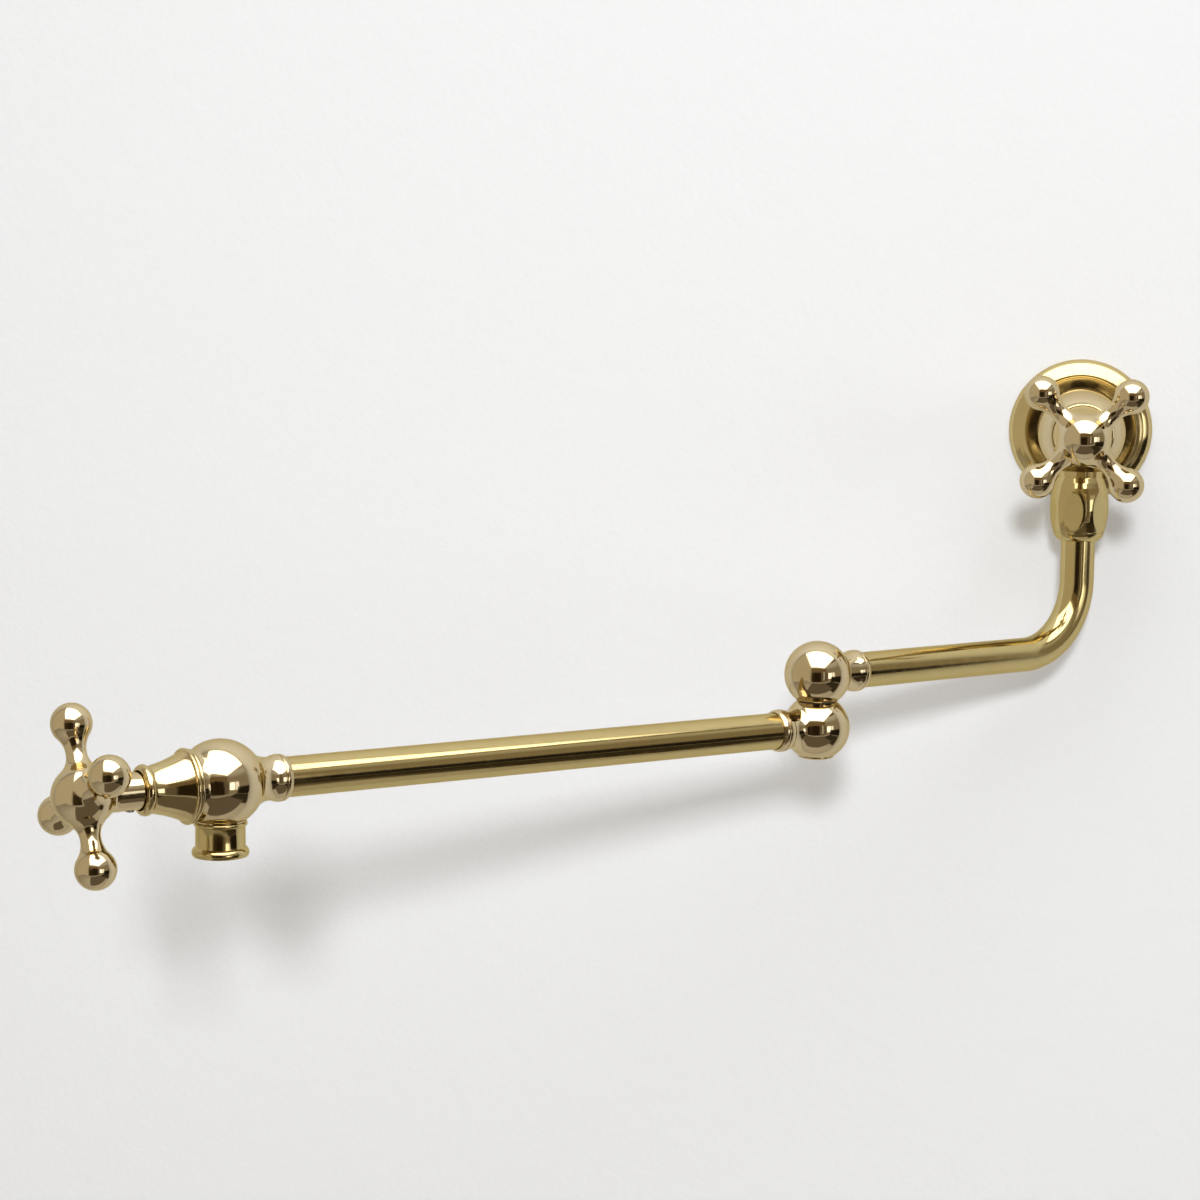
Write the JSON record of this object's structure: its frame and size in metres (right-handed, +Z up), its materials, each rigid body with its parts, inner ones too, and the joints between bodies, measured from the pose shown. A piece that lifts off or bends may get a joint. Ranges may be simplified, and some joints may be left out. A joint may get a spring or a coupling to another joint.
{
  "type": "wall mounted pot filler",
  "caption": "Wall mounted pot filler tap: cross-handle valve on a round flange, drop tube, folding double swing arm with ball elbow, and a cross-handle end valve over a down-facing outlet.",
  "frame": {"origin": "centre of the inlet thread mouth, on the wall plane", "axes": "+Y into the wall along the inlet, +X to the right along the wall, +Z up"},
  "size_m": [0.5078, 0.4855, 0.2318],
  "materials": {
    "polished_brass": "polished, unlacquered",
    "machined_brass": "turned",
    "rubber": "moulded black",
    "ptfe": "carbon-filled, smooth dark grey",
    "ceramic": "lapped white ceramic",
    "stainless_steel": "plain",
    "aerator_plastic": "moulded"
  },
  "bodies": {
    "wall_valve": {"wall_flange": "polished_brass", "flange_gasket": "rubber", "flange_screw": "stainless_steel", "wall_valve_body": "polished_brass", "union_nut": "polished_brass", "wall_bonnet": "polished_brass", "wall_cartridge_housing": "machined_brass", "wall_fixed_disc": "ceramic", "wall_seat_seal": "rubber", "wall_housing_seal": "rubber"},
    "wall_tap_handle": {"wall_moving_disc": "ceramic", "wall_spindle": "machined_brass", "wall_spindle_seal": "rubber", "wall_handle": "polished_brass", "wall_handle_screw": "stainless_steel"},
    "upper_arm": {"swivel_tail": "machined_brass", "tail_seals": "rubber", "thrust_washers": "ptfe", "drop_tube": "polished_brass", "upper_elbow": "polished_brass", "swivel_post": "machined_brass", "post_seals": "rubber", "snap_ring": "stainless_steel"},
    "lower_arm": {"elbow_washer": "ptfe", "lower_elbow": "polished_brass", "post_washer": "ptfe", "elbow_plug": "polished_brass", "arm_tube": "polished_brass", "end_valve_body": "polished_brass", "outlet_nozzle": "polished_brass", "aerator_seal": "rubber", "aerator_housing": "aerator_plastic", "aerator_screen": "stainless_steel", "end_bonnet": "polished_brass", "end_cartridge_housing": "machined_brass", "end_fixed_disc": "ceramic", "end_seat_seal": "rubber", "end_housing_seal": "rubber"},
    "end_tap_handle": {"end_moving_disc": "ceramic", "end_spindle": "machined_brass", "end_spindle_seal": "rubber", "end_handle": "polished_brass", "end_handle_screw": "stainless_steel"}
  },
  "joints": [
    {"name": "wall_handle_turn", "type": "hinge", "parent": "wall_valve", "child": "wall_tap_handle", "pos_m": [0, -0.06603, 0], "axis": [0, -1, 0], "range_deg": [0, 90]},
    {"name": "wall_swivel", "type": "hinge", "parent": "wall_valve", "child": "upper_arm", "pos_m": [0, -0.044, -0.0412], "axis": [0, 0, 1], "range_deg": [-42, 134.5]},
    {"name": "elbow_swivel", "type": "hinge", "parent": "upper_arm", "child": "lower_arm", "pos_m": [-0.13492, -0.1813, -0.1512], "axis": [0, 0, 1], "continuous": true},
    {"name": "end_handle_turn", "type": "hinge", "parent": "lower_arm", "child": "end_tap_handle", "pos_m": [-0.40039, -0.42033, -0.1512], "axis": [-0.7431, -0.6691, 0], "range_deg": [0, 90]}
  ]
}
